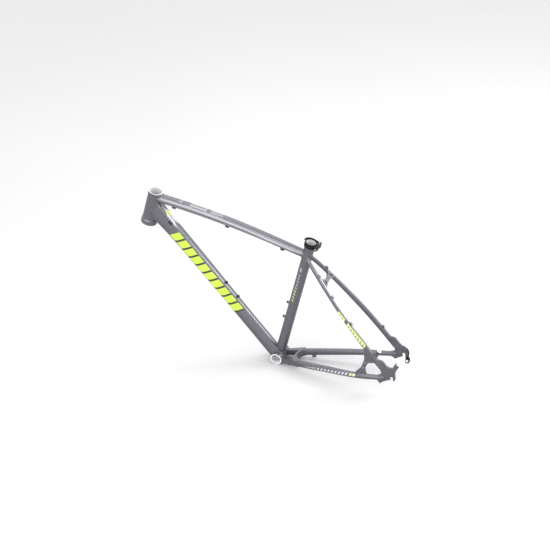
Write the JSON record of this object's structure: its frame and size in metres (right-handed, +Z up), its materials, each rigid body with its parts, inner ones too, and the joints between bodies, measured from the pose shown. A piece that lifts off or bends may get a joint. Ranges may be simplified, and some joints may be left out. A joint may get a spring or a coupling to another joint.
{
  "type": "bicycle frame",
  "caption": "Hardtail mountain-bike frame of shaped aluminium tubes with a quick-release seat clamp, disc brake posts and a derailleur hanger.",
  "frame": {"origin": "centre of the bottom bracket shell", "axes": "+X rearwards, +Y to the rider's right (along the bottom bracket axis), +Z up when the bike stands level"},
  "size_m": [0.944, 0.1562, 0.6194],
  "materials": {
    "frame_paint": "satin metallic",
    "black_steel": "black oxide",
    "plated_steel": "zinc plated",
    "black_anodised": "satin anodised",
    "black_plastic": "matte",
    "black_rubber": "matte"
  },
  "bodies": {
    "frame": {"head_tube": "frame_paint", "bb_shell": "frame_paint", "seat_tube": "frame_paint", "top_tube": "frame_paint", "down_tube": "frame_paint", "chainstay_yoke": "frame_paint", "chainstay_left": "frame_paint", "chainstay_right": "frame_paint", "seatstay_left": "frame_paint", "seatstay_right": "frame_paint", "seatstay_bridge": "frame_paint", "dropout_left": "frame_paint", "dropout_right": "frame_paint", "derailleur_hanger": "black_anodised", "hanger_bolts": "black_steel", "disc_brace": "frame_paint", "brake_post_front": "frame_paint", "down_tube_bottle_bosses": "frame_paint", "down_tube_bottle_bolts": "black_steel", "seat_tube_bottle_bosses": "frame_paint", "seat_tube_bottle_bolts": "black_steel", "cable_port_rim": "frame_paint", "cable_port_grommet": "black_rubber", "top_tube_guide_front": "frame_paint", "top_tube_guide_middle": "frame_paint", "top_tube_guide_rear": "frame_paint", "seatstay_guide_left_upper": "frame_paint", "seatstay_guide_left_middle": "frame_paint", "seatstay_guide_left_lower": "frame_paint", "seatstay_guide_right_upper": "frame_paint", "seatstay_guide_right_lower": "frame_paint", "chainstay_cable_stop": "frame_paint", "mudguard_boss": "frame_paint"},
    "collar": {"seat_collar": "black_anodised", "qr_saddle": "black_plastic"},
    "skewer": {"qr_skewer": "plated_steel", "qr_pin": "plated_steel"},
    "lever": {"qr_lever": "black_anodised"},
    "nut": {"qr_nut": "black_anodised"}
  },
  "joints": [
    {"name": "collar_turn", "type": "hinge", "parent": "frame", "child": "collar", "pos_m": [0.1416, 0, 0.46314], "axis": [0.2924, 0, 0.9563], "continuous": true},
    {"name": "skewer_slide", "type": "slide", "parent": "collar", "child": "skewer", "axis": [0, -1, 0], "range_m": [0, 0.00106]},
    {"name": "lever_hinge", "type": "hinge", "parent": "skewer", "child": "lever", "pos_m": [0.16407, 0.0205, 0.45627], "axis": [-0.2924, 0, -0.9563], "range_deg": [0, 150]},
    {"name": "nut_spin", "type": "hinge", "parent": "skewer", "child": "nut", "pos_m": [0.16407, 0, 0.45627], "axis": [0, 1, 0], "continuous": true}
  ],
  "couplings": [
    {"joint": "skewer_slide", "follows": "lever_hinge", "m_per_rad": 0.000404}
  ]
}
